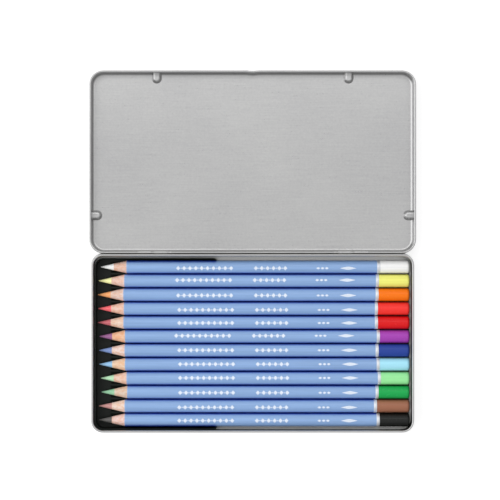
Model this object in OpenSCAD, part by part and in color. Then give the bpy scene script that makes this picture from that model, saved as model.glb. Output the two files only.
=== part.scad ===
// Flat hinged tin with a moulded insert and twelve round coloured pencils, lid laid open.
// Millimetres. The pencils lie along X with their points towards -X, +Y runs from the base to
// the open lid and +Z is up. The origin is the middle of the base's underside.

/* [Pencils] */
// Diameter over the lacquer
pencil_d = 7.4; // [6.8:0.1:8]
// Length of a pencil of average sharpening
pencil_len = 174.6; // [160:0.1:180]
// Gap between neighbouring pencils
pencil_gap = 0.43; // [0.2:0.01:1]
// Diameter of the coloured lead
lead_d = 3.8; // [2.8:0.1:4.2]
// Length of the sharpened cone
cone_len = 15.2; // [12:0.2:22]
// Radius of the blunt end of the point
point_r = 0.25; // [0.15:0.05:0.5]
// Thickness of the lacquer on the wood
lacquer = 0.15; // [0.1:0.05:0.3]
// Thickness of the dipped colour on the wood, a little more than the lacquer
dip = 0.2; // [0.15:0.05:0.35]
// Average length of the dipped end
dip_len = 17.3; // [10:0.1:30]
// Thickness of the dipped colour over the end of the wood
dip_end = 1; // [0.9:0.1:1.6]
// Rounding of the dipped end's rim
dip_round = 1.5; // [0.3:0.1:1.5]

/* [Insert] */
// Thickness of the moulded plastic sheet
tray_sheet = 0.45; // [0.3:0.05:0.6]
// Height of the insert's wall above the floor of the base
tray_wall_h = 9.2; // [6:0.1:9.6]
// Length of the wide, walled part of the insert at the points
tray_wide_len = 68.5; // [40:0.5:120]
// Plan radius where the wall turns in at the end of the wide part
tray_step_r = 2; // [1.6:0.1:2.2]
// Flat floor between the wall at the points and the first crest of the cradle
tray_end_floor = 8; // [4:0.5:12]
// Bend radius between the insert's floor and its wall, on the inside
tray_bend_r = 0.6; // [0.3:0.1:0.9]
// How far round a pencil the outermost grooves reach from the bottom, in degrees
flank_angle = 40; // [30:1:48]

/* [Tinplate] */
// Thickness of the tinplate
sheet = 0.3; // [0.2:0.05:0.35]
// Outer plan radius of the tin's corners
corner_r = 7.1; // [7:0.1:12]
// Outer bend radius between a panel and its wall
edge_r = 1.8; // [1:0.1:2.2]
// Outer radius of the curled edges
curl_r = 0.6; // [0.5:0.05:0.7]

/* [Hinges] */
// Distance of each ear's middle from the middle of the tin
ear_x = 51.75; // [30:0.25:60]
// Width of an ear
ear_w = 7.5; // [5:0.5:10]
// How far round the lid's curl an ear is wrapped, in degrees
ear_wrap = 240; // [200:5:245]
// Play of the slot past the ear, towards the middle of the tin
slot_inner_play = 2.3; // [1.5:0.1:4]
// Play of the slot past the ear, towards the corner, where the ear is threaded in
slot_outer_play = 9.2; // [6:0.1:12]
// Length of the mouth at the slot's outer end, where the curl is half cut away
slot_mouth = 7.4; // [4:0.1:8]
// Length of the nick at the slot's inner end
slot_nick = 1; // [0.6:0.1:1.4]

/* [Lid details] */
// Width of a stop pressed into the lid
stop_w = 6; // [4:0.5:8]
// Reach of a stop from the outside of the wall
stop_reach = 6; // [5:0.5:9]
// Height of a stop above the outside of the panel
stop_h = 2.3; // [1.9:0.1:2.8]
// Width of a stop's flat top
stop_top = 2; // [1:0.1:3]
// Distance of the front stops from the middle of the tin
stop_x = 54.3; // [30:0.1:70]
// Distance of the side stops from the hinge axis
stop_y = 21; // [15:0.5:60]
// Radius of the bends of the thumb notch in the front wall
notch_r = 12; // [8:0.5:14]
// Straight part at the bottom of the thumb notch
notch_flat = 0.8; // [0.4:0.2:3]

/* [Clearances] */
// Between the lid's wall and the neck of the base
lid_gap = 0.35; // [0.25:0.05:0.5]
// Between the lid's curl and the step of the base
step_gap = 0.2; // [0.15:0.05:0.3]
// Between the lid's stops and the rim of the closed base
stop_gap = 0.2; // [0.1:0.05:0.5]
// Between the lid's curl and the ear round it
ear_gap = 0.05; // [0.03:0.01:0.08]
// Between the ear's path and the end of the slot's cut
slot_gap = 0.25; // [0.15:0.05:0.4]
// Between the rim of the base and the insert
tray_gap = 0.65; // [0.3:0.05:1]
// Between the insert's side wall and the nearest pencil
side_gap = 0.85; // [0.6:0.05:2]
// Between the insert's end wall and the point of an average pencil
tip_gap = 1.7; // [1.5:0.05:4]
// Between the rim of the base and the dipped ends
end_gap = 0.9; // [0.2:0.05:1.5]
// Between a pencil and its groove
groove_gap = 0.1; // [0.05:0.05:0.2]
// Between the bottom of a groove and the floor of the base
groove_lift = 0.1; // [0.05:0.05:0.4]
// Between the pencils and the closed lid
head_room = 5.35; // [4.8:0.05:8]
// How far the insert and its pencils sit forward of the middle of the tin
row_shift = 0.4; // [0:0.05:0.5]

/* [Hidden] */
$fn = 48;

// Keeps a cut just clear of a face that it would only touch
nudge = 0.05;

// Name, colour, how far the point is ground back and how much shorter the end is dipped
pencils = [
    ["white", [0.95, 0.95, 0.94], 0.9, 0.7],
    ["yellow", [0.95, 0.93, 0.45], -0.35, 0],
    ["orange", [0.97, 0.5, 0.08], -0.85, -0.2],
    ["light_red", [0.93, 0.24, 0.2], -0.55, -0.6],
    ["dark_red", [0.8, 0.1, 0.12], -0.8, -0.6],
    ["purple", [0.62, 0.27, 0.68], 0.05, 0.5],
    ["dark_blue", [0.18, 0.25, 0.58], -0.15, -0.2],
    ["sky_blue", [0.64, 0.88, 0.95], 0.05, 0.4],
    ["light_green", [0.6, 0.9, 0.62], 0.95, 1.1],
    ["green", [0.13, 0.62, 0.32], 1.3, -0.2],
    ["brown", [0.6, 0.4, 0.31], -0.15, -1.1],
    ["black", [0.12, 0.12, 0.12], -0.15, 0.4]
];
pencil_pieces = ["lead", "casing", "lacquer", "cap"];
wood_colour = [0.94, 0.79, 0.7];
lacquer_colour = [0.59, 0.7, 0.86];

// The row of pencils, which everything else is built round
count = len(pencils);
pitch = pencil_d + pencil_gap;
row_half = ((count - 1) * pitch + pencil_d) / 2;
pencil_r = pencil_d / 2;
wood_r = pencil_r - lacquer;
lead_r = lead_d / 2;
cone_slope = (pencil_r - point_r) / cone_len;

// The insert's half width outside, and the inside of its grooves
tray_half_wid = row_half + side_gap + tray_sheet;
groove_r = pencil_r + groove_gap;
groove_mid_r = groove_r + tray_sheet / 2;

// A groove turns into a crest where its side has the slope of a 3-4-5 triangle, which sets the
// inside radius of the crests
groove_angle = atan(4 / 3);
groove_to_crest = pitch / 2 / sin(groove_angle);
crest_r = groove_to_crest - groove_mid_r - tray_sheet / 2;

// The base's opening inside its curled rim, and the tin round it
rim_half_wid = tray_half_wid + tray_gap;
rim_half_len = (end_gap + pencil_len + tip_gap + tray_sheet + tray_gap) / 2;
rim_to_wall = 2 * curl_r + lid_gap + sheet;
tin_len = 2 * (rim_half_len + rim_to_wall);
tin_wid = 2 * (rim_half_wid + rim_to_wall);
tin_h = 2 * sheet + groove_lift + tray_sheet + groove_gap + pencil_d + head_room;

// Heights
hinge_z = tin_h / 2;
step_z = hinge_z - curl_r - step_gap;
rim_z = tin_h - stop_h - stop_gap;
axis_z = sheet + groove_lift + tray_sheet + groove_r;
crest_z = axis_z - groove_to_crest * cos(groove_angle);

// Places along and across the tin
hinge_y = tin_wid / 2 - sheet + curl_r;
neck_in = sheet + lid_gap;
tray_x = tray_gap - rim_half_len;
point_x = tray_x + tray_sheet + tip_gap;
cap_end_x = rim_half_len - end_gap;
wood_end_x = cap_end_x - dip_end;
tray_corner_r = corner_r - rim_to_wall - tray_gap;
tray_strip = 0.9 * tray_step_r;
groove_bury = 0.3 * tray_sheet;
cradle_x = tray_x + tray_sheet + tray_end_floor;
flank_y = row_half - pencil_r + (groove_r + tray_sheet) * sin(flank_angle) - nudge;
flank_z = axis_z - (groove_r + tray_sheet) * cos(flank_angle);
flank_half = flank_y - tray_sheet / 2;

// Straight runs of the tin's walls between the corners. The turn of each bend of the thumb
// notch, in degrees, has a sine and a cosine that are whole in the sixth decimal, so the
// pieces of the notch meet face to face. The last run to the notch is what is left of the wall.
end_run = tin_wid - 2 * corner_r;
long_run = tin_len - 2 * corner_r;
notch_turn = 8.7934;
notch_run = long_run / 2 - 2 * notch_r * sin(notch_turn) - notch_flat / 2;

// How far the panel's flat goes past the centres of the corners, and how far in from the wall
// a section's own strip of panel reaches
panel_lap = 0.6 * (corner_r - edge_r);
strip_in = corner_r - 0.85 * panel_lap;

// Sheet bent round a centre: a ring sector in the plane of a section
module bend(at, inner, thick, from, to) {
    reach = 2 * (inner + thick);
    span = to - from;
    translate(at)
        intersection() {
            difference() {
                circle(inner + thick);
                circle(inner);
            }
            polygon(concat([[0, 0]], [
                for (part = [0:6]) let (angle = from + span * part / 6)
                    reach * [cos(angle), sin(angle)]
            ]));
        }
}

// Carries a section along a path of straight runs and round turns. The section's X is measured
// outwards from the path and its Y is height. A step of the path is [run, radius, angle]: a
// straight run, then a turn, with its centre inside the wall where the angle is positive.
module carry(path, at = 0) {
    run = path[at][0];
    radius = path[at][1];
    angle = path[at][2];
    side = sign(angle);
    if (run > 0)
        translate([0, run, 0])
            rotate([90, 0, 0])
                linear_extrude(run)
                    children();
    translate([-side * radius, run, 0]) {
        if (angle > 0)
            rotate_extrude(angle = angle)
                translate([radius, 0])
                    children();
        if (angle < 0)
            rotate(180 + angle)
                rotate_extrude(angle = -angle)
                    translate([radius, 0])
                        mirror([1, 0])
                            children();
        if (at + 1 < len(path))
            rotate(angle)
                translate([side * radius, 0, 0])
                    carry(path, at + 1)
                        children();
    }
}

// A pressed pan: the wall section carried from the middle of the rear wall round two corners
// and on along the front wall by the path given, the same mirrored, and the flat of the panel
module pan(front_path) {
    path = concat([[long_run / 2, corner_r, 90], [end_run, corner_r, 90]], front_path);
    flat_len = long_run + 2 * panel_lap;
    flat_wid = end_run + 2 * panel_lap;
    for (side = [0, 1])
        mirror([side, 0, 0])
            translate([0, -tin_wid / 2, 0])
                rotate(-90)
                    carry(path)
                        children();
    translate([-flat_len / 2, -flat_wid / 2, 0])
        cube([flat_len, flat_wid, sheet]);
}

// The strip of panel and the bend up to the wall, the same in both pans
module panel_edge() {
    translate([-strip_in, 0])
        square([strip_in - edge_r, sheet]);
    bend([-edge_r, edge_r], edge_r - sheet, sheet, 270, 360);
}

// Base wall: up to the step, in by the lid's thickness and its gap, up the neck and curled in
module base_section() {
    step_bend = lid_gap / 2;
    step_u = -sheet - step_bend;
    panel_edge();
    translate([-sheet, edge_r])
        square([sheet, step_z - sheet - step_bend - edge_r]);
    bend([step_u, step_z - sheet - step_bend], step_bend, sheet, 0, 90);
    bend([step_u, step_z + step_bend], step_bend, sheet, 180, 270);
    translate([-neck_in - sheet, step_z + step_bend])
        square([sheet, rim_z - curl_r - step_z - step_bend]);
    bend([-neck_in - curl_r, rim_z - curl_r], curl_r - sheet, sheet, 0, 270);
}

// Lid wall: straight up to the height of the hinge axis and curled outwards
module lid_section() {
    panel_edge();
    translate([-sheet, edge_r])
        square([sheet, hinge_z - edge_r]);
    bend([curl_r - sheet, hinge_z], curl_r - sheet, sheet, -90, 180);
}

// Ear of the base: a strip out of the neck, wrapped round the lid's curl
module ear_section() {
    ear_r = curl_r + ear_gap;
    link_y = tin_wid / 2 - neck_in - sheet / 2;
    translate([link_y, hinge_z - ear_r - sheet])
        square([hinge_y - link_y, sheet]);
    bend([hinge_y, hinge_z], ear_r, sheet, 270, 270 + ear_wrap);
}

// Turns a drawing in the YZ plane into a bar along X, from X = from
module bar_x(from, length) {
    translate([from, 0, 0])
        rotate([90, 0, 90])
            linear_extrude(length)
                children();
}

module base_pan() {
    color("silver") {
        pan([[long_run / 2, 0, 0]])
            base_section();
        for (side = [-1, 1])
            bar_x(side * ear_x - ear_w / 2, ear_w)
                ear_section();
    }
}

// Half the outline across a stop: a foot below the panel and a dome that rises ever less
// steeply to the flat top
function stop_outline(inset) =
    let (half_w = stop_w / 2 - inset, lean = (stop_w - stop_top) / 2, top = stop_h - inset)
    concat([[half_w, -sheet]], [
        for (part = [0:5]) let (out = 1 - part / 5)
            [half_w - lean * (1 - out), top * (1 - out * out)]
    ]);

// Form of a stop, with the outside of the wall at X = 0 and its nose towards -X: a round nose
// and the straight part between it and the wall
module stop_form(inset, past) {
    outline = stop_outline(inset);
    last = len(outline) - 1;
    nose_x = stop_w / 2 - stop_reach;
    translate([nose_x, 0, 0])
        rotate(90)
            rotate_extrude(angle = 180)
                polygon(concat([[0, -sheet]], outline, [[0, stop_h - inset]]));
    bar_x(nose_x, past - nose_x)
        polygon(concat(outline, [
            for (step = [0:last]) let (point = outline[last - step])
                [-point[0], point[1]]
        ]));
}

// The space inside the middle of the lid's sheet, as a bar across a stop
module stop_envelope() {
    width = stop_w + 2;
    depth = stop_reach + 1;
    mid = sheet / 2;
    translate([0, width / 2, 0])
        rotate([90, 0, 0])
            linear_extrude(width) {
                translate([-depth, mid])
                    square([depth - edge_r, stop_h]);
                translate([-depth, edge_r])
                    square([depth - mid, stop_h]);
                translate([-edge_r, edge_r])
                    circle(edge_r - mid);
            }
}

// Places the stops: two at the front wall and one at each end wall, in the lid's own frame
module at_stops() {
    for (side = [-1, 1])
        translate([side * stop_x, tin_wid / 2, 0])
            rotate(90)
                children();
    for (turn = [0, 1])
        translate([(1 - 2 * turn) * tin_len / 2, stop_y - hinge_y, 0])
            rotate(180 * turn)
                children();
}

// Cuts in the lid's rear wall for one ear, in the lid's own frame, on the +X side: the slot in
// the wall below the curl, and the mouth and the nick that also open the curl's inner half
module hinge_slot() {
    from = ear_x - ear_w / 2 - slot_inner_play;
    to = ear_x + ear_w / 2 + slot_outer_play;
    depth = curl_r + ear_gap + sheet + slot_gap;
    across = 2 * curl_r;
    translate([from, -tin_wid / 2 - sheet / 2, hinge_z - depth])
        cube([to - from, across, depth]);
    translate([to - slot_mouth, nudge - hinge_y, hinge_z - depth])
        cube([slot_mouth, across, depth + across]);
    translate([from, nudge - hinge_y, hinge_z - depth])
        cube([slot_nick, across, depth + across]);
}

// The lid lies open behind the base, turned half round the hinge axis from closed
module lid_pan() {
    color("silver")
        translate([0, 2 * hinge_y, 0])
            difference() {
                union() {
                    pan([
                        [notch_run, notch_r, notch_turn],
                        [0, notch_r, -notch_turn],
                        [0.75 * notch_flat, 0, 0]
                    ])
                        lid_section();
                    at_stops()
                        intersection() {
                            stop_form(0, 0);
                            stop_envelope();
                        }
                }
                at_stops()
                    stop_form(sheet, sheet);
                for (side = [0, 1])
                    mirror([side, 0, 0])
                        hinge_slot();
            }
}

function pencil_y(slot) = (count - 1) * pitch / 2 - slot * pitch;

// Cradle: one sheet that dips under each pencil and rises to a crest between two, with its
// outer edges turned down to the floor
module cradle_section() {
    last = count - 1;
    for (slot = [0:last])
        bend(
            [pencil_y(slot), axis_z], groove_r, tray_sheet,
            270 - (slot == last ? flank_angle : groove_angle),
            270 + (slot == 0 ? flank_angle : groove_angle)
        );
    for (slot = [1:last])
        bend(
            [pencil_y(slot) + pitch / 2, crest_z], crest_r, tray_sheet,
            90 - groove_angle, 90 + groove_angle
        );
    for (side = [0, 1])
        mirror([side, 0])
            translate([flank_y - tray_sheet, sheet])
                square([tray_sheet, flank_z - sheet]);
}

// The cradle's closed end: what lies under the grooves, up into the sheet's own thickness
module cradle_end_section() {
    low = sheet + tray_sheet / 2;
    difference() {
        translate([-flank_half, low])
            square([2 * flank_half, crest_z + crest_r + groove_bury - low]);
        for (slot = [0:count - 1])
            translate([pencil_y(slot), axis_z])
                circle(groove_r + groove_bury);
    }
}

// Outer strip of floor, bend and wall of the insert's wide part
module tray_wall_section() {
    bend_out = tray_bend_r + tray_sheet;
    translate([-tray_strip, sheet])
        square([tray_strip - bend_out, tray_sheet]);
    bend([-bend_out, sheet + bend_out], tray_bend_r, tray_sheet, 270, 360);
    translate([-tray_sheet, sheet + bend_out])
        square([tray_sheet, tray_wall_h - bend_out]);
}

// Floor of the insert's wide part, lapping over that strip and open under the cradle
module tray_floor() {
    inset = (tray_strip + tray_bend_r + tray_sheet) / 2;
    corner_x = tray_x + tray_corner_r;
    corner_y = tray_half_wid - tray_corner_r;
    end_x = tray_x + tray_wide_len - inset;
    half = tray_half_wid - inset;
    translate([0, 0, sheet])
        linear_extrude(tray_sheet)
            difference() {
                union() {
                    translate([corner_x, -half])
                        square([end_x - corner_x, 2 * half]);
                    translate([tray_x + inset, -corner_y])
                        square([tray_corner_r, 2 * corner_y]);
                    for (side = [-1, 1])
                        translate([corner_x, side * corner_y])
                            circle(tray_corner_r - inset);
                }
                translate([cradle_x + tray_sheet / 2, -flank_half])
                    square([tray_wide_len, 2 * flank_half]);
            }
}

// Wall of the insert's wide part. Where it turns in to the cradle it is cut to the round of
// the outermost pencils, up into the thickness of their grooves, and cut away above them.
module tray_wall() {
    side_run = tray_wide_len - tray_step_r - tray_corner_r;
    end_span = 2 * (tray_half_wid - tray_corner_r);
    step_run = tray_half_wid - tray_step_r - flank_half;
    cut_r = groove_r + groove_bury;
    difference() {
        translate([tray_x + tray_wide_len, flank_half, 0])
            carry([
                [step_run, tray_step_r, 90],
                [side_run, tray_corner_r, 90],
                [end_span, tray_corner_r, 90],
                [side_run, tray_step_r, 90],
                [step_run, 0, 0]
            ])
                tray_wall_section();
        for (slot = [0, count - 1])
            translate([tray_x + tray_wide_len - tray_step_r, pencil_y(slot), axis_z]) {
                rotate([0, 90, 0])
                    cylinder(r = cut_r, h = 2 * tray_step_r);
                translate([0, nudge - cut_r, 0])
                    cube([2 * tray_step_r, 2 * (cut_r - nudge), tray_wall_h]);
            }
    }
}

module insert_tray() {
    color([0.1, 0.1, 0.11])
        translate([0, -row_shift, 0]) {
            bar_x(cradle_x, cap_end_x - cradle_x)
                cradle_section();
            for (x = [cradle_x, cap_end_x - tray_sheet])
                bar_x(x, tray_sheet)
                    cradle_end_section();
            tray_floor();
            tray_wall();
        }
}

// Turns a half section drawn as (radius, X) about the axis of a pencil in the row
module pencil_turned(slot, paint) {
    color(paint)
        translate([0, pencil_y(slot) - row_shift, axis_z])
            rotate([0, 90, 0])
                rotate_extrude()
                    children();
}

function tip_x(slot) = point_x + pencils[slot][2];
function cap_x(slot) = cap_end_x - dip_len + pencils[slot][3];

// Place on a pencil's cone where its radius is r
function cone_x(slot, r) = tip_x(slot) + (r - point_r) / cone_slope;

module lead(slot) {
    pencil_turned(slot, pencils[slot][1])
        polygon([
            [0, tip_x(slot)], [point_r, tip_x(slot)], [lead_r, cone_x(slot, lead_r)],
            [lead_r, wood_end_x], [0, wood_end_x]
        ]);
}

module casing(slot) {
    pencil_turned(slot, wood_colour)
        polygon([
            [lead_r, cone_x(slot, lead_r)], [wood_r, cone_x(slot, wood_r)],
            [wood_r, wood_end_x], [lead_r, wood_end_x]
        ]);
}

module lacquer_coat(slot) {
    pencil_turned(slot, lacquer_colour)
        polygon([
            [wood_r, cone_x(slot, wood_r)], [pencil_r, cone_x(slot, pencil_r)],
            [pencil_r, cap_x(slot)], [wood_r, cap_x(slot)]
        ]);
}

// Dipped end: a sleeve on the wood, closed over the end with a round rim
module cap(slot) {
    cap_r = wood_r + dip;
    from_x = cap_x(slot);
    round_x = cap_end_x - dip_round;
    pencil_turned(slot, pencils[slot][1])
        difference() {
            union() {
                translate([0, from_x])
                    square([cap_r, round_x - from_x]);
                translate([0, from_x])
                    square([cap_r - dip_round, cap_end_x - from_x]);
                intersection() {
                    translate([cap_r - dip_round, round_x])
                        circle(dip_round);
                    translate([cap_r - dip_round, round_x])
                        square(dip_round);
                }
            }
            translate([0, from_x])
                square([wood_r, wood_end_x - from_x]);
        }
}

base_pan();
lid_pan();
insert_tray();
for (slot = [0:count - 1]) {
    lead(slot);
    casing(slot);
    lacquer_coat(slot);
    cap(slot);
}
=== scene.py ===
"""Finishes, foil bands and printed ornament for a flat hinged pencil tin.

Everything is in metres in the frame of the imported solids: the pencils lie along X with their
points towards -X, +Y runs from the base to the open lid and +Z is up.
"""

import math

import bpy
import numpy as np
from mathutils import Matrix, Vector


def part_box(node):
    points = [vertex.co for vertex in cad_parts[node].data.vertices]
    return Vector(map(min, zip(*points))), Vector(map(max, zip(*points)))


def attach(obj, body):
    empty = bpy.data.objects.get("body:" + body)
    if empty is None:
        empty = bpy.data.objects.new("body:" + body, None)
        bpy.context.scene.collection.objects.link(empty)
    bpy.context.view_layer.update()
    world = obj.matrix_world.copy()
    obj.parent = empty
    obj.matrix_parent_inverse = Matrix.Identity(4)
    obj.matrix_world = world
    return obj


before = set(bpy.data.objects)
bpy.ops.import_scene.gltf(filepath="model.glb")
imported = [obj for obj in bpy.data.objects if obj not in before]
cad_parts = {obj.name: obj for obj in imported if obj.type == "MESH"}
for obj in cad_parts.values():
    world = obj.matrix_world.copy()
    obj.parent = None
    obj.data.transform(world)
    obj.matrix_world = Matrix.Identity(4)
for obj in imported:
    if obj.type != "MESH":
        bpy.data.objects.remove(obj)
for leftover in [o for o in bpy.data.objects if o.type in {"MESH", "LIGHT", "CAMERA"}]:
    if leftover.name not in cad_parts:
        bpy.data.objects.remove(leftover, do_unlink=True)
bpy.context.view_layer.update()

MM = 0.001
RING_WIDTH = 1.75 * MM
RING_TO_CAP = 0.02 * MM
RING_SUNK, RING_PROUD = 0.06 * MM, 0.03 * MM
PRINT_SUNK, PRINT_PROUD = 0.04 * MM, 0.025 * MM
RUN_PITCH = 3.3

# Colour of each lead, dipped end and cut wood, back to front in the tin, and how far the print
# on that pencil is set along it and rolled towards the back, in millimetres
LEADS = {
    "white": (0.98, 0.98, 0.98),
    "yellow": (0.98, 0.97, 0.46),
    "orange": (0.98, 0.42, 0.16),
    "light_red": (0.98, 0.16, 0.18),
    "dark_red": (0.60, 0.145, 0.17),
    "purple": (0.34, 0.13, 0.30),
    "dark_blue": (0.21, 0.31, 0.60),
    "sky_blue": (0.32, 0.57, 0.84),
    "light_green": (0.50, 0.80, 0.52),
    "green": (0.32, 0.62, 0.39),
    "brown": (0.60, 0.30, 0.28),
    "black": (0.13, 0.125, 0.12),
}
DIPS = {
    "white": (0.93, 0.93, 0.92),
    "yellow": (0.91, 0.90, 0.20),
    "orange": (0.98, 0.19, 0.005),
    "light_red": (0.93, 0.040, 0.032),
    "dark_red": (0.75, 0.010, 0.012),
    "purple": (0.39, 0.058, 0.46),
    "dark_blue": (0.024, 0.060, 0.33),
    "sky_blue": (0.40, 0.80, 0.96),
    "light_green": (0.34, 0.86, 0.36),
    "green": (0.012, 0.40, 0.085),
    "brown": (0.35, 0.145, 0.085),
    "black": (0.014, 0.015, 0.014),
}
WOODS = {
    "white": (0.80, 0.57, 0.48),
    "yellow": (0.82, 0.59, 0.51),
    "orange": (0.79, 0.61, 0.54),
    "light_red": (0.83, 0.57, 0.47),
    "dark_red": (0.82, 0.63, 0.51),
    "purple": (0.84, 0.53, 0.35),
    "dark_blue": (0.84, 0.66, 0.59),
    "sky_blue": (0.84, 0.63, 0.46),
    "light_green": (0.82, 0.59, 0.48),
    "green": (0.73, 0.58, 0.46),
    "brown": (0.85, 0.67, 0.57),
    "black": (0.85, 0.63, 0.58),
}
PRINTS = {
    "white": (-0.4, -0.7),
    "yellow": (-1.0, 0.5),
    "orange": (-0.4, -0.3),
    "light_red": (0.2, -0.6),
    "dark_red": (0.2, -0.1),
    "purple": (-1.5, 0.6),
    "dark_blue": (0.2, 0.3),
    "sky_blue": (0.7, 0.3),
    "light_green": (0.7, 0.4),
    "green": (0.7, -0.1),
    "brown": (0.2, -0.5),
    "black": (0.2, -0.1),
}


# ---------------------------------------------------------------- finishes

class Nodes:
    """Short calls that add nodes to a node tree."""

    def __init__(self, tree):
        self.tree = tree

    def node(self, kind, **settings):
        made = self.tree.nodes.new(kind)
        for name, value in settings.items():
            setattr(made, name, value)
        return made

    def put(self, value, socket):
        """Links an output to a socket, or writes a plain number or colour on it."""
        if isinstance(value, bpy.types.NodeSocket):
            self.tree.links.new(value, socket)
        elif isinstance(value, tuple) and len(value) == 3 and socket.type == "RGBA":
            socket.default_value = (*value, 1.0)
        else:
            socket.default_value = value

    def between(self, value, low, high, to_low=0.0, to_high=1.0, curve="LINEAR"):
        """The value carried from one range to another and held inside it."""
        spread = self.node("ShaderNodeMapRange", clamp=True, interpolation_type=curve)
        for socket, number in zip(spread.inputs, (value, low, high, to_low, to_high)):
            self.put(number, socket)
        return spread.outputs["Result"]

    def sum_of(self, kind, first, second=0.0):
        """Two values put together by a kind of arithmetic."""
        sums = self.node("ShaderNodeMath", operation=kind)
        self.put(first, sums.inputs[0])
        self.put(second, sums.inputs[1])
        return sums.outputs["Value"]

    def parts_of(self, place):
        """The X, Y and Z of a direction or place."""
        split = self.node("ShaderNodeSeparateXYZ")
        self.put(place, split.inputs["Vector"])
        return split.outputs


class Finish(Nodes):
    """A material under way: its Principled shader, and nodes on the object's own coordinates."""

    def __init__(self, name):
        self.material = bpy.data.materials.new(name)
        self.material.use_nodes = True
        super().__init__(self.material.node_tree)
        self.shader = self.tree.nodes["Principled BSDF"]
        self.place = self.node("ShaderNodeTexCoord").outputs["Object"]

    def set(self, **values):
        """Plain values or outputs for the shader's own sockets, by name."""
        for name, value in values.items():
            self.put(value, self.shader.inputs[name.replace("_", " ")])

    def stretched(self, scale, shift=(0, 0, 0)):
        """The object's own coordinates, scaled along each axis."""
        mapping = self.node("ShaderNodeMapping")
        self.put(self.place, mapping.inputs["Vector"])
        mapping.inputs["Scale"].default_value = scale
        mapping.inputs["Location"].default_value = shift
        return mapping.outputs["Vector"]

    def cloud(self, place, scale=1.0, detail=3.0, rough=0.55, twist=0.0):
        """Soft noise from 0 to 1."""
        noise = self.node("ShaderNodeTexNoise")
        self.put(place, noise.inputs["Vector"])
        noise.inputs["Scale"].default_value = scale
        noise.inputs["Detail"].default_value = detail
        noise.inputs["Roughness"].default_value = rough
        noise.inputs["Distortion"].default_value = twist
        return noise.outputs["Fac"]

    def ring_marks(self, scale, twist, detail):
        """Wavy bands across X, from 0 to 1."""
        rings = self.node("ShaderNodeTexWave", wave_type="BANDS", bands_direction="X")
        self.put(self.place, rings.inputs["Vector"])
        rings.inputs["Scale"].default_value = scale
        rings.inputs["Distortion"].default_value = twist
        rings.inputs["Detail"].default_value = detail
        return rings.outputs["Fac"]

    def blend(self, share, first, second):
        """The first colour going over to the second as the share grows."""
        mixer = self.node("ShaderNodeMix", data_type="RGBA")
        self.put(share, mixer.inputs["Factor"])
        for value, name in ((first, "A_Color"), (second, "B_Color")):
            socket = next(s for s in mixer.inputs if s.identifier == name)
            self.put(value, socket)
        return next(s for s in mixer.outputs if s.identifier == "Result_Color")

    def openness_for_painted_shade(self, reach, low, high):
        """From 0 far into a crevice to 1 in the open, by what lies within that reach in metres;
        used to paint shade into colours.
        """
        near = self.node("ShaderNodeAmbientOcclusion", samples=8)
        near.inputs["Distance"].default_value = reach
        return self.between(near.outputs["AO"], low, high)

    def relief(self, height, depth, strength=1.0):
        """Bump of that depth in metres, on the shader's normal."""
        bump = self.node("ShaderNodeBump")
        bump.inputs["Strength"].default_value = strength
        bump.inputs["Distance"].default_value = depth
        self.put(height, bump.inputs["Height"])
        self.put(bump.outputs["Normal"], self.shader.inputs["Normal"])


def shade(colour, factor):
    """A colour made darker or lighter by a factor."""
    return tuple(min(1.0, part * factor) for part in colour)


def rolled_tinplate(name):
    """Satin tinplate: rolling lines along X, a fine mottle, a slow drift of tone, and painted
    shade that darkens it far into its corners and bends."""
    f = Finish(name)
    lines = f.cloud(f.stretched((60, 2600, 2600)), detail=2, rough=0.5)
    mottle = f.cloud(f.place, scale=900, detail=2, rough=0.5)
    drift = f.cloud(f.place, scale=14, detail=2)
    mixed = f.sum_of("ADD", f.sum_of("MULTIPLY", lines, 0.5), f.sum_of("MULTIPLY", mottle, 0.5))
    tone = f.sum_of("ADD", f.sum_of("MULTIPLY", mixed, 0.6), f.sum_of("MULTIPLY", drift, 0.4))
    unshaded = f.blend(f.between(tone, 0.35, 0.65), (0.51, 0.51, 0.515), (0.615, 0.615, 0.61))
    f.set(
        # painted shade: the tin goes over to (0.32, 0.32, 0.30) in corners and bends, where
        # ambient occlusion finds other surfaces close
        Base_Color=f.blend(f.openness_for_painted_shade(0.006, 0.15, 0.45), (0.32, 0.32, 0.30), unshaded),
        Metallic=1.0,
        Roughness=f.between(mixed, 0.3, 0.7, 0.27, 0.32),
        Specular_IOR_Level=0.5,
    )
    f.relief(lines, 0.00001, 0.2)
    return f.material


def moulded_black(name):
    """Thin black sheet drawn in a mould: soft gloss with a faint grain and cloudy patches."""
    f = Finish(name)
    grain = f.cloud(f.place, scale=2200, detail=2)
    patches = f.cloud(f.place, scale=90, detail=3)
    f.set(
        Base_Color=f.blend(patches, (0.006, 0.008, 0.007), (0.012, 0.016, 0.013)),
        Roughness=f.between(patches, 0.3, 0.7, 0.30, 0.44),
        Specular_IOR_Level=0.22,
    )
    f.relief(f.sum_of("ADD", grain, f.sum_of("MULTIPLY", patches, 0.6)), 0.00002, 0.5)
    return f.material


def cut_cedar(name, tint, shift):
    """Sharpened cedar: grain along X, small flecks and the rings that a sharpener leaves."""
    f = Finish(name)
    grain = f.cloud(f.stretched((260, 2400, 2400), shift), detail=4, rough=0.65, twist=0.6)
    flecks = f.cloud(f.stretched((900, 5200, 5200), shift), detail=2)
    cloudy = f.cloud(f.stretched((420, 900, 900), shift), detail=2)
    pale, warm, dark = (
        tuple(part * share for part, share in zip(tint, shares))
        for shares in ((1.02, 1.06, 1.10), (0.98, 0.82, 0.70), (0.85, 0.68, 0.58))
    )
    wood = f.blend(f.between(cloudy, 0.40, 0.62), pale, warm)
    wood = f.blend(f.between(grain, 0.45, 0.75, 0.0, 0.6), wood, dark)
    f.set(
        Base_Color=f.blend(f.between(flecks, 0.60, 0.72, 0.0, 0.55), wood, (0.66, 0.35, 0.23)),
        Roughness=f.between(grain, 0.3, 0.7, 0.55, 0.7),
        Specular_IOR_Level=0.3,
    )
    f.relief(f.sum_of("ADD", f.ring_marks(620, 1.5, 2), grain), 0.00002, 0.5)
    return f.material


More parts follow.
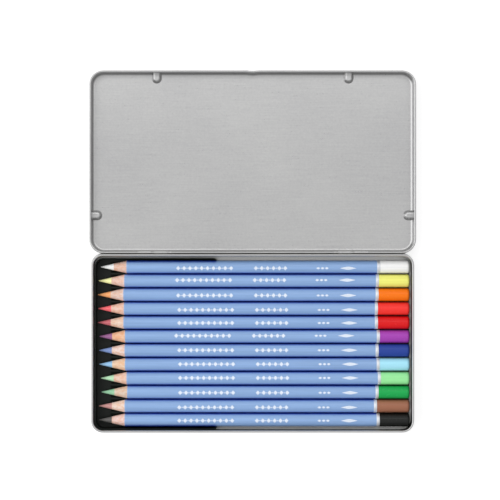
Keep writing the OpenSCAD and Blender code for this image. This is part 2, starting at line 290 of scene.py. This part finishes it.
def pressed_lead(name, colour, tip_x, edge_x):
    """Waxy coloured lead: chalky mottle, ring marks, and darker where it is worn at the point."""
    f = Finish(name)
    chalk = f.cloud(f.place, scale=2600, detail=4, rough=0.7)
    worn_to = tip_x + 0.45 * (edge_x - tip_x)
    worn = f.between(f.parts_of(f.place)["X"], tip_x, worn_to, 1.0, 0.0)
    body = f.blend(f.between(chalk, 0.3, 0.7), shade(colour, 0.96), shade(colour, 1.06))
    f.set(
        Base_Color=f.blend(f.sum_of("MULTIPLY", worn, 0.5), body, shade(colour, 0.45)),
        Roughness=f.between(chalk, 0.3, 0.7, 0.45, 0.6),
        Specular_IOR_Level=0.4,
    )
    f.relief(f.sum_of("ADD", f.ring_marks(900, 2, 2), chalk), 0.000015, 0.4)
    return f.material


def clear_coated(name, colour, painted_shade_colour, flow, rough, gloss, coat):
    """Brushed-on lacquer under a clear gloss: faint long streaks, a slight orange peel, and
    painted shade: a darker colour where barrels lie close together."""
    f = Finish(name)
    streaks = f.cloud(f.stretched((22, 900, 900)), detail=3)
    peel = f.cloud(f.place, scale=700, detail=2)
    film = f.blend(f.between(streaks, 0.3, 0.7), shade(colour, 1 - flow), shade(colour, 1 + flow))
    f.set(
        # painted shade: the film goes over to the darker colour where neighbouring barrels, walls
        # or the tray lie close
        Base_Color=f.blend(f.openness_for_painted_shade(0.003, 0.3, 0.8), painted_shade_colour, film),
        Roughness=f.between(peel, 0.3, 0.7, rough - 0.04, rough + 0.04),
        Specular_IOR_Level=gloss,
        Coat_Weight=coat,
        Coat_Roughness=0.08,
    )
    f.relief(f.sum_of("ADD", f.sum_of("MULTIPLY", streaks, 0.6), peel), 0.000012, 0.25)
    return f.material


def stamped_silver(name):
    """Foil stamped on lacquer: bright, with fine round scuffs."""
    f = Finish(name)
    scuffs = f.cloud(f.stretched((5200, 500, 500)), detail=3)
    f.set(
        Base_Color=f.blend(f.between(scuffs, 0.35, 0.7), (0.86, 0.88, 0.92), (0.74, 0.77, 0.82)),
        Metallic=0.6,
        Roughness=f.between(scuffs, 0.3, 0.7, 0.42, 0.55),
    )
    f.relief(scuffs, 0.000006, 0.3)
    return f.material


def white_print(name):
    """Thick white foil print with a slightly broken surface."""
    f = Finish(name)
    gaps = f.cloud(f.place, scale=3200, detail=3)
    f.set(
        Base_Color=f.blend(f.between(gaps, 0.42, 0.75), (0.80, 0.86, 0.95), (0.60, 0.70, 0.86)),
        Roughness=f.between(gaps, 0.3, 0.7, 0.35, 0.5),
        Specular_IOR_Level=0.4,
    )
    f.relief(gaps, 0.000006, 0.3)
    return f.material


def dress(node, finish):
    """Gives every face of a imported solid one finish."""
    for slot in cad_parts[node].material_slots:
        slot.material = finish


# ---------------------------------------------------------------- new pieces

def add_piece(name, points, faces, finish, body):
    """A mesh piece from arrays, shaded smooth below 40 degrees, riding on a body."""
    mesh = bpy.data.meshes.new(name)
    mesh.from_pydata(points, [], faces)
    mesh.update()
    mesh.validate()
    mesh.shade_smooth()
    mesh.set_sharp_from_angle(angle=math.radians(40))
    mesh.materials.append(finish)
    piece = bpy.data.objects.new(name, mesh)
    bpy.context.scene.collection.objects.link(piece)
    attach(piece, body)
    return piece


def ring_faces(rows, columns):
    """Faces of a grid of points closed both ways: each point to its next in row and column."""
    row, column = np.meshgrid(np.arange(rows), np.arange(columns), indexing="ij")
    next_row, next_column = (row + 1) % rows, (column + 1) % columns
    corners = [row * columns + column, next_row * columns + column,
               next_row * columns + next_column, row * columns + next_column]
    return np.stack(corners, -1).reshape(-1, 4)


def foil_band(centre, from_x, to_x, inner, outer, around=72):
    """A flat ring round a pencil: a rounded-cornered oblong profile, whose corner radius is
    0.4 of its thickness, turned about the pencil's axis. A profile point at angle t is the
    corner's centre plus the corner radius times (cos t, sin t)."""
    thick = outer - inner
    corner = 0.4 * thick
    turn = np.linspace(0, 2 * np.pi, 16, endpoint=False) + np.pi / 16
    mid_x, half_x = (from_x + to_x) / 2, (to_x - from_x) / 2 - corner
    mid_r, half_r = (inner + outer) / 2, thick / 2 - corner
    along = mid_x + np.sign(np.cos(turn)) * half_x + corner * np.cos(turn)
    radius = mid_r + np.sign(np.sin(turn)) * half_r + corner * np.sin(turn)
    angle = np.linspace(0, 2 * np.pi, around, endpoint=False)
    x = np.repeat(along[:, None], around, 1)
    y = centre[1] + radius[:, None] * np.sin(angle)[None]
    z = centre[2] + radius[:, None] * np.cos(angle)[None]
    return np.stack([x, y, z], -1).reshape(-1, 3), ring_faces(len(turn), around)


def printed_tiles(centre, tiles, under, over, steps=16):
    """Small tiles of print wrapped on a barrel. A tile is (x, roll, half length, half height,
    kind); its outline at angle t lies at distance 1 / (|cos t / length|^k + |sin t / height|^k)
    ^ (1/k) from its middle, where k is 1 for a lozenge and 2 for an oval. Rings at one third,
    two thirds and all of that distance are rolled on the barrel by turning their height into an
    angle about the axis; the last ring is repeated at the lower radius, and each side is closed
    by a point in its middle."""
    x0, roll, half_len, half_high, power = (np.array(part, float)[:, None] for part in zip(*tiles))
    turn = np.linspace(0, 2 * np.pi, steps, endpoint=False)[None]
    reach = (np.abs(np.cos(turn) / half_len) ** power
             + np.abs(np.sin(turn) / half_high) ** power) ** (-1 / power)

    def on_barrel(share, radius, directions):
        along = x0 + share * reach * np.cos(directions)
        angle = (roll + share * reach * np.sin(directions)) / over
        across, up = centre[1] + radius * np.sin(angle), centre[2] + radius * np.cos(angle)
        return np.stack([along, across, up], -1)

    rings = [(1 / 3, over), (2 / 3, over), (1, over), (1, under)]
    layers = [on_barrel(share, radius, turn) for share, radius in rings]
    layers.insert(0, on_barrel(0, over, turn)[:, :1])
    layers.append(on_barrel(0, under, turn)[:, :1])
    points = np.concatenate(layers, axis=1)
    here = 1 + np.arange(steps)
    after = 1 + (np.arange(steps) + 1) % steps
    last = (len(rings) - 1) * steps
    bottom = np.full(steps, points.shape[1] - 1)
    parts = [np.stack([np.zeros(steps, int), after, here], -1),
             np.stack([bottom, here + last, after + last], -1)]
    for first in range(0, last, steps):
        parts.append(np.stack([here + first, after + first,
                               after + first + steps, here + first + steps], -1))
    start = (np.arange(len(tiles)) * points.shape[1])[:, None, None]
    faces = []
    for part in parts:
        faces += (start + part[None]).reshape(-1, part.shape[1]).tolist()
    return points.reshape(-1, 3), faces


def ornament(along, roll):
    """A long leaf, a long and a short run of lozenges with dots between them, and a row of three
    small lozenges. Each tile is written in millimetres as (x, roll, half length, half height,
    kind) and given in metres."""
    tiles = [(54.0, roll, 4.7, 0.95, 1.2)]
    for start, number in ((-41.4, 10), (2.2, 6)):
        for place in range(number):
            x = start + RUN_PITCH * place
            tiles.append((x, roll, 1.2, 1.3, 1.0))
            if place < number - 1:
                tiles.append((x + RUN_PITCH / 2, roll, 0.3, 0.3, 2.0))
    tiles += [(x, roll, 1.0, 0.65, 1.3) for x in (37.2, 39.6, 42.0)]
    return [((x + along) * MM, s * MM, a * MM, b * MM, k) for x, s, a, b, k in tiles]


# ---------------------------------------------------------------- the tin and its insert

tinplate = rolled_tinplate("rolled tinplate")
dress("base_pan", tinplate)
dress("lid_pan", tinplate)
dress("insert_tray", moulded_black("moulded black sheet"))

# ---------------------------------------------------------------- the pencils

# the second colour is painted shade, a dark navy put into the gaps between barrels
blue_lacquer = clear_coated(
    "light blue lacquer", (0.255, 0.41, 0.70), (0.0, 0.04, 0.45), 0.07, 0.34, 0.4, 0.25
)
silver_foil = stamped_silver("stamped silver foil")
print_foil = white_print("white print foil")

for index, (colour, lead_colour) in enumerate(LEADS.items()):
    body = "pencil_" + colour
    low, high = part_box("lacquer_" + colour)
    centre = (0, (low.y + high.y) / 2, (low.z + high.z) / 2)
    barrel_r = (high.z - low.z) / 2
    lead_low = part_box("lead_" + colour)[0]
    wood_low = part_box("casing_" + colour)[0]
    cap_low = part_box("cap_" + colour)[0]

    dress("lead_" + colour, pressed_lead("lead " + colour, lead_colour, lead_low.x, wood_low.x))
    grain_shift = (0, 0.37 * index, 0)
    dress("casing_" + colour, cut_cedar("cut cedar " + colour, WOODS[colour], grain_shift))
    dress("lacquer_" + colour, blue_lacquer)
    dip = DIPS[colour]
    # the dip darkened to 0.4 is painted shade where the caps lie close together
    glossy_dip = clear_coated("dipped " + colour, dip, shade(dip, 0.4), 0.05, 0.24, 0.2, 0.08)
    dress("cap_" + colour, glossy_dip)

    points, faces = foil_band(
        centre, cap_low.x - RING_WIDTH, cap_low.x - RING_TO_CAP, barrel_r - RING_SUNK,
        barrel_r + RING_PROUD,
    )
    add_piece("silver_ring_" + colour, points.tolist(), faces.tolist(), silver_foil, body)
    points, faces = printed_tiles(
        centre, ornament(*PRINTS[colour]), barrel_r - PRINT_SUNK, barrel_r + PRINT_PROUD
    )
    add_piece("print_" + colour, points.tolist(), faces, print_foil, body)


# ---------------------------------------------------------------- floor, light and camera

def white_floor():
    """A matt white sheet under the tin, lifted to white where it is seen, not where it lights."""
    pale, lift = 0.42, 0.72
    reach = 12.0
    below = -0.02 * MM
    f = Finish("white floor")
    path = f.node("ShaderNodeLightPath").outputs
    seen = f.sum_of("MAXIMUM", path["Is Camera Ray"], path["Is Glossy Ray"])
    seen = f.sum_of("MAXIMUM", seen, path["Is Transmission Ray"])
    f.set(
        Base_Color=(pale, pale, pale),
        Roughness=0.9,
        Specular_IOR_Level=0.2,
        Emission_Color=(1.0, 1.0, 1.0),
        Emission_Strength=f.sum_of("MULTIPLY", seen, lift),
    )
    mesh = bpy.data.meshes.new("floor")
    mesh.from_pydata(
        [(-reach, -reach, 0), (reach, -reach, 0), (reach, reach, 0), (-reach, reach, 0)],
        [], [(0, 1, 2, 3)],
    )
    mesh.materials.append(f.material)
    floor = bpy.data.objects.new("floor", mesh)
    bpy.context.scene.collection.objects.link(floor)
    floor.location.z = below


def studio_world():
    """Soft white surroundings. The strength is a ramp over how far a direction leans from a
    line just behind overhead, dark at the sides and bright above, plus a bright strip of wall on
    the left: one share that grows from 0 to 1 as the direction turns to -X, times one that falls
    from 1 to 0 as it turns off to the front or back."""
    bright_line = (-0.05, 0.33, 0.943)
    heights = (0.35, 0.70, 0.88)
    tones = (0.35, 0.48, 0.67, 0.81, 0.81)
    world = bpy.data.worlds.new("studio")
    bpy.context.scene.world = world
    world.use_nodes = True
    n = Nodes(world.node_tree)
    back = world.node_tree.nodes["Background"]
    n.put((1.0, 1.0, 1.0), back.inputs["Color"])
    direction = n.node("ShaderNodeTexCoord").outputs["Generated"]
    lean = n.node("ShaderNodeVectorMath", operation="DOT_PRODUCT")
    n.put(direction, lean.inputs[0])
    lean.inputs[1].default_value = bright_line
    rise = n.node("ShaderNodeValToRGB")
    n.put(lean.outputs["Value"], rise.inputs["Fac"])
    rise.color_ramp.interpolation = "EASE"
    for height in heights:
        rise.color_ramp.elements.new(height)
    for stop, tone in zip(rise.color_ramp.elements, tones):
        stop.color = (tone, tone, tone, 1)
    towards = n.parts_of(direction)
    left = n.between(towards["X"], -0.22, -0.55, curve="SMOOTHSTEP")
    aside = n.sum_of("ABSOLUTE", towards["Y"])
    strip = n.sum_of("MULTIPLY", left, n.between(aside, 0.45, 0.20, curve="SMOOTHSTEP"))
    n.put(n.sum_of("ADD", strip, rise.outputs["Color"]), back.inputs["Strength"])


def soft_box(name, place, aim, size, brightness, mirrored):
    """An oblong lamp facing a point; its power is pi times its area times its brightness. One
    that isn't mirrored lights without showing in the metal."""
    lamp = bpy.data.lights.new(name, "AREA")
    lamp.shape = "RECTANGLE"
    lamp.size, lamp.size_y = size
    lamp.energy = math.pi * size[0] * size[1] * brightness
    stand = bpy.data.objects.new(name, lamp)
    bpy.context.scene.collection.objects.link(stand)
    stand.location = place
    away = np.array(place) - np.array(aim)
    stand.rotation_euler = (
        math.acos(away[2] / np.linalg.norm(away)), 0, math.atan2(away[1], away[0]) + math.pi / 2
    )
    stand.visible_camera = False
    stand.visible_glossy = mirrored


def straight_down_camera():
    """A long lens straight above the open tin, the lid at the top of the frame. The width seen
    is the frame's width at the height of the barrels."""
    middle_x, middle_y, height = -0.0015, 0.05222, 0.9
    barrel_top = 0.007
    width_seen = 0.2810
    lens = bpy.data.cameras.new("camera")
    lens.sensor_width = 36
    lens.lens = lens.sensor_width * (height - barrel_top) / width_seen
    lens.clip_end = 50
    camera = bpy.data.objects.new("camera", lens)
    bpy.context.scene.collection.objects.link(camera)
    camera.location = (middle_x, middle_y, height)
    bpy.context.scene.camera = camera


white_floor()
studio_world()
soft_box("back box", (0, 0.48, 0.88), (0, 0, 0), (1.3, 0.22), 1.2, True)
soft_box("left box", (-0.55, -0.08, 0.60), (0, 0.03, 0), (0.75, 0.42), 2.0, False)
straight_down_camera()
bpy.context.scene.view_settings.view_transform = "Standard"
